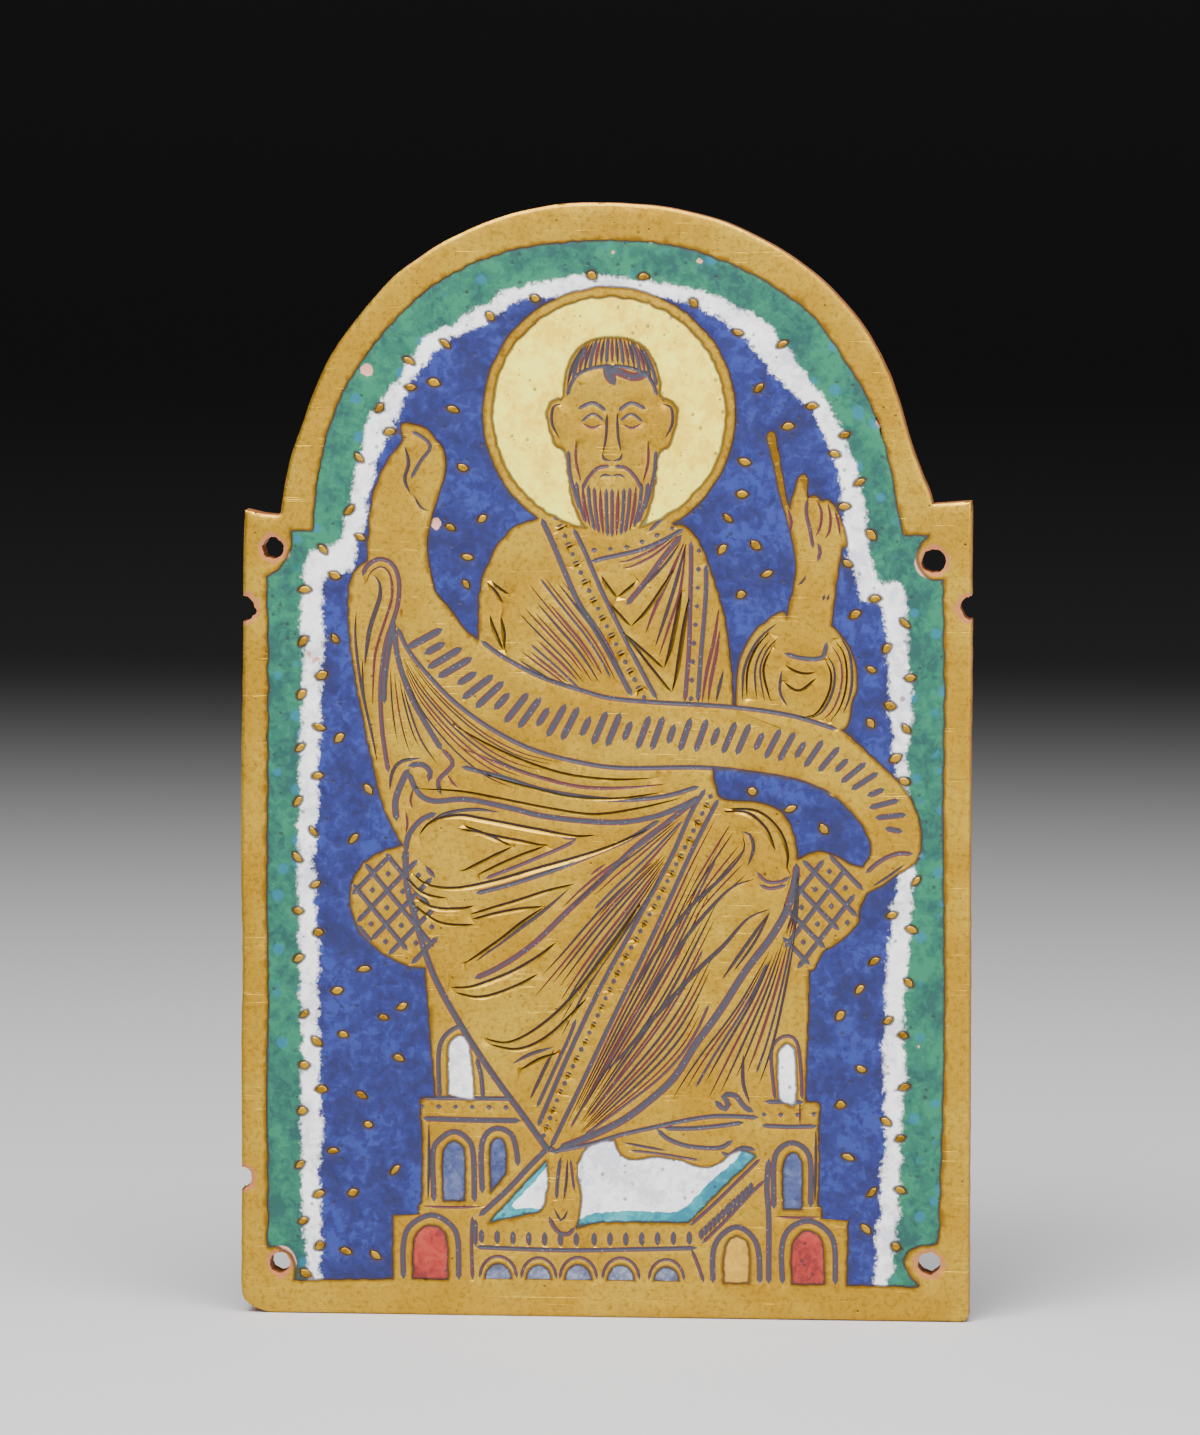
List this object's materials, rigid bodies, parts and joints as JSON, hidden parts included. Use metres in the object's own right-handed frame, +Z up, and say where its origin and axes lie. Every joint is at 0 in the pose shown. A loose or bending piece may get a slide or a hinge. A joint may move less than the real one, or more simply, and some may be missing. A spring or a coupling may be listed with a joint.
{
  "type": "enamelled reliquary plaque",
  "caption": "Arched gilded copper plaque with champlevé enamel: an enthroned robed figure with a scroll on blue, inside white and green bands.",
  "frame": {"origin": "middle of the flat back face, half way across the plate and half way up", "axes": "+Z up towards the crown of the arch, -Y out of the enamelled front, +Y out of the back, +X to the viewer's right"},
  "size_m": [0.0575, 0.0026, 0.0875],
  "materials": {
    "gilded_copper": "satin",
    "green_enamel": "satin",
    "white_enamel": "satin",
    "blue_enamel": "satin",
    "halo_enamel": "satin",
    "window_blue_enamel": "satin",
    "red_enamel": "satin",
    "yellow_enamel": "satin",
    "turquoise_enamel": "satin",
    "grey_enamel": "satin"
  },
  "bodies": {
    "root": {"copper_plate": "gilded_copper", "green_border": "green_enamel", "white_band_left_and_top": "white_enamel", "white_band_right": "white_enamel", "blue_ground_lower_left": "blue_enamel", "blue_ground_upper_left": "blue_enamel", "blue_ground_lower_right": "blue_enamel", "blue_ground_upper_right": "blue_enamel", "halo_enamel": "halo_enamel", "white_window_left": "white_enamel", "white_window_right": "white_enamel", "blue_window_left_outer": "window_blue_enamel", "blue_window_left_inner": "window_blue_enamel", "blue_window_right": "window_blue_enamel", "red_arch_left": "red_enamel", "red_arch_right": "red_enamel", "yellow_arch": "yellow_enamel", "footstool_white_right": "white_enamel", "footstool_turquoise_right": "turquoise_enamel", "footstool_white_left": "white_enamel", "footstool_turquoise_left": "turquoise_enamel", "footstool_arch_1": "grey_enamel", "footstool_arch_2": "grey_enamel", "footstool_arch_3": "grey_enamel", "footstool_arch_4": "grey_enamel", "footstool_arch_5": "grey_enamel"}
  },
  "joints": []
}
